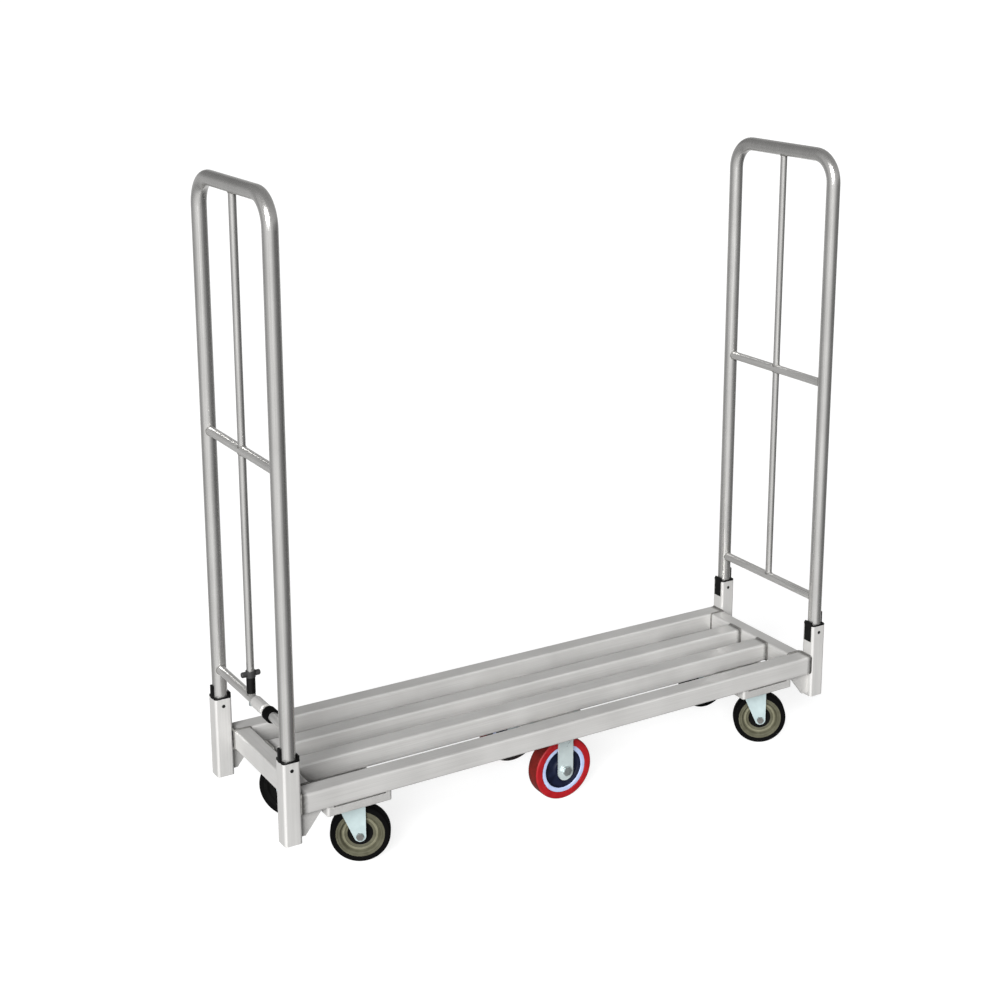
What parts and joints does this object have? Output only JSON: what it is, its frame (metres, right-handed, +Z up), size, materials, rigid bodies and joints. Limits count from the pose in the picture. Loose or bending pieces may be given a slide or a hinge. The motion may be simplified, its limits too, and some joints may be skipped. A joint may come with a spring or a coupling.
{
  "type": "u-boat cart",
  "caption": "Narrow tube-deck stock cart with swivel corner casters, larger rigid centre wheels and a tall lift-out bent-tube handle at each end.",
  "frame": {"origin": "on the floor under the middle of the deck", "axes": "+X along the deck from the near handle to the far one, +Y from the front rail to the back rail, +Z up"},
  "size_m": [1.4069, 0.398, 1.4398],
  "materials": {
    "satin_aluminium": "satin drawn tube",
    "zinc_steel": "bright zinc plate",
    "dark_steel": "black oxide",
    "black_rubber": "smooth black rubber",
    "grey_plastic": "olive grey moulded",
    "red_tread": "red moulded polyurethane",
    "navy_plastic": "dark navy moulded, pale rim",
    "black_nylon": "black moulded nylon"
  },
  "bodies": {
    "frame": {"back_bracket": "zinc_steel", "back_rail": "satin_aluminium", "back_slat": "satin_aluminium", "caster_kingpins": "zinc_steel", "caster_plates": "zinc_steel", "centre_axles": "zinc_steel", "centre_wheel_plate": "satin_aluminium", "corner_gussets": "satin_aluminium", "far_back_post": "satin_aluminium", "far_caster_tray": "satin_aluminium", "far_cross_member": "satin_aluminium", "far_front_post": "satin_aluminium", "front_bracket": "zinc_steel", "front_rail": "satin_aluminium", "front_slat": "satin_aluminium", "near_back_post": "satin_aluminium", "near_caster_tray": "satin_aluminium", "near_cross_member": "satin_aluminium", "near_front_post": "satin_aluminium", "plate_bolts": "zinc_steel", "plate_nuts": "zinc_steel", "socket_screws": "dark_steel"},
    "near_handle": {"near_handle_tube": "satin_aluminium", "near_mid_bar": "satin_aluminium", "near_rung": "satin_aluminium", "near_upper_bar": "satin_aluminium", "near_lower_bar": "satin_aluminium", "near_collars": "black_nylon", "pin_sleeve": "black_nylon", "rung_keeper": "zinc_steel", "rung_bumper": "black_rubber"},
    "far_handle": {"far_handle_tube": "satin_aluminium", "far_mid_bar": "satin_aluminium", "far_rung": "satin_aluminium", "far_upper_bar": "satin_aluminium", "far_lower_bar": "satin_aluminium", "far_collars": "black_nylon"},
    "pull_pin": {"pull_pin": "zinc_steel", "pull_cross_pin": "zinc_steel", "pull_grip": "black_nylon"},
    "near_front_swivel": {"near_front_fork": "zinc_steel", "near_front_axle": "zinc_steel"},
    "near_front_wheel": {"near_front_wheel_core": "grey_plastic", "near_front_tyre": "black_rubber"},
    "near_back_swivel": {"near_back_fork": "zinc_steel", "near_back_axle": "zinc_steel"},
    "near_back_wheel": {"near_back_wheel_core": "grey_plastic", "near_back_tyre": "black_rubber"},
    "far_front_swivel": {"far_front_fork": "zinc_steel", "far_front_axle": "zinc_steel"},
    "far_front_wheel": {"far_front_wheel_core": "grey_plastic", "far_front_tyre": "black_rubber"},
    "far_back_swivel": {"far_back_fork": "zinc_steel", "far_back_axle": "zinc_steel"},
    "far_back_wheel": {"far_back_wheel_core": "grey_plastic", "far_back_tyre": "black_rubber"},
    "front_centre_wheel": {"front_centre_core": "navy_plastic", "front_centre_tread": "red_tread"},
    "back_centre_wheel": {"back_centre_core": "navy_plastic", "back_centre_tread": "red_tread"}
  },
  "joints": [
    {"name": "near_handle_lift", "type": "slide", "parent": "frame", "child": "near_handle", "axis": [0, 0, 1], "range_m": [0, 0.15]},
    {"name": "far_handle_lift", "type": "slide", "parent": "frame", "child": "far_handle", "axis": [0, 0, 1], "range_m": [0, 0.15]},
    {"name": "pull_pin_lift", "type": "slide", "parent": "near_handle", "child": "pull_pin", "axis": [0, 0, 1], "range_m": [0, 0.025], "stiffness_N_per_m": 250, "springref_m": -0.01},
    {"name": "near_front_swivel", "type": "hinge", "parent": "frame", "child": "near_front_swivel", "pos_m": [-0.534, -0.112, 0.14], "axis": [0, 0, 1], "continuous": true},
    {"name": "near_front_roll", "type": "hinge", "parent": "near_front_swivel", "child": "near_front_wheel", "pos_m": [-0.50398, -0.12796, 0.0635], "axis": [0.4695, 0.8829, 0], "continuous": true},
    {"name": "near_back_swivel", "type": "hinge", "parent": "frame", "child": "near_back_swivel", "pos_m": [-0.534, 0.112, 0.14], "axis": [0, 0, 1], "continuous": true},
    {"name": "near_back_roll", "type": "hinge", "parent": "near_back_swivel", "child": "near_back_wheel", "pos_m": [-0.5535, 0.13985, 0.0635], "axis": [-0.8192, -0.5736, 0], "continuous": true},
    {"name": "far_front_swivel", "type": "hinge", "parent": "frame", "child": "far_front_swivel", "pos_m": [0.534, -0.112, 0.14], "axis": [0, 0, 1], "continuous": true},
    {"name": "far_front_roll", "type": "hinge", "parent": "far_front_swivel", "child": "far_front_wheel", "pos_m": [0.56283, -0.13002, 0.0635], "axis": [0.5299, 0.848, 0], "continuous": true},
    {"name": "far_back_swivel", "type": "hinge", "parent": "frame", "child": "far_back_swivel", "pos_m": [0.534, 0.112, 0.14], "axis": [0, 0, 1], "continuous": true},
    {"name": "far_back_roll", "type": "hinge", "parent": "far_back_swivel", "child": "far_back_wheel", "pos_m": [0.56781, 0.10845, 0.0635], "axis": [0.1045, 0.9945, 0], "continuous": true},
    {"name": "front_centre_roll", "type": "hinge", "parent": "frame", "child": "front_centre_wheel", "pos_m": [0, -0.112, 0.073], "axis": [0, 1, 0], "continuous": true},
    {"name": "back_centre_roll", "type": "hinge", "parent": "frame", "child": "back_centre_wheel", "pos_m": [0, 0.112, 0.073], "axis": [0, 1, 0], "continuous": true}
  ]
}
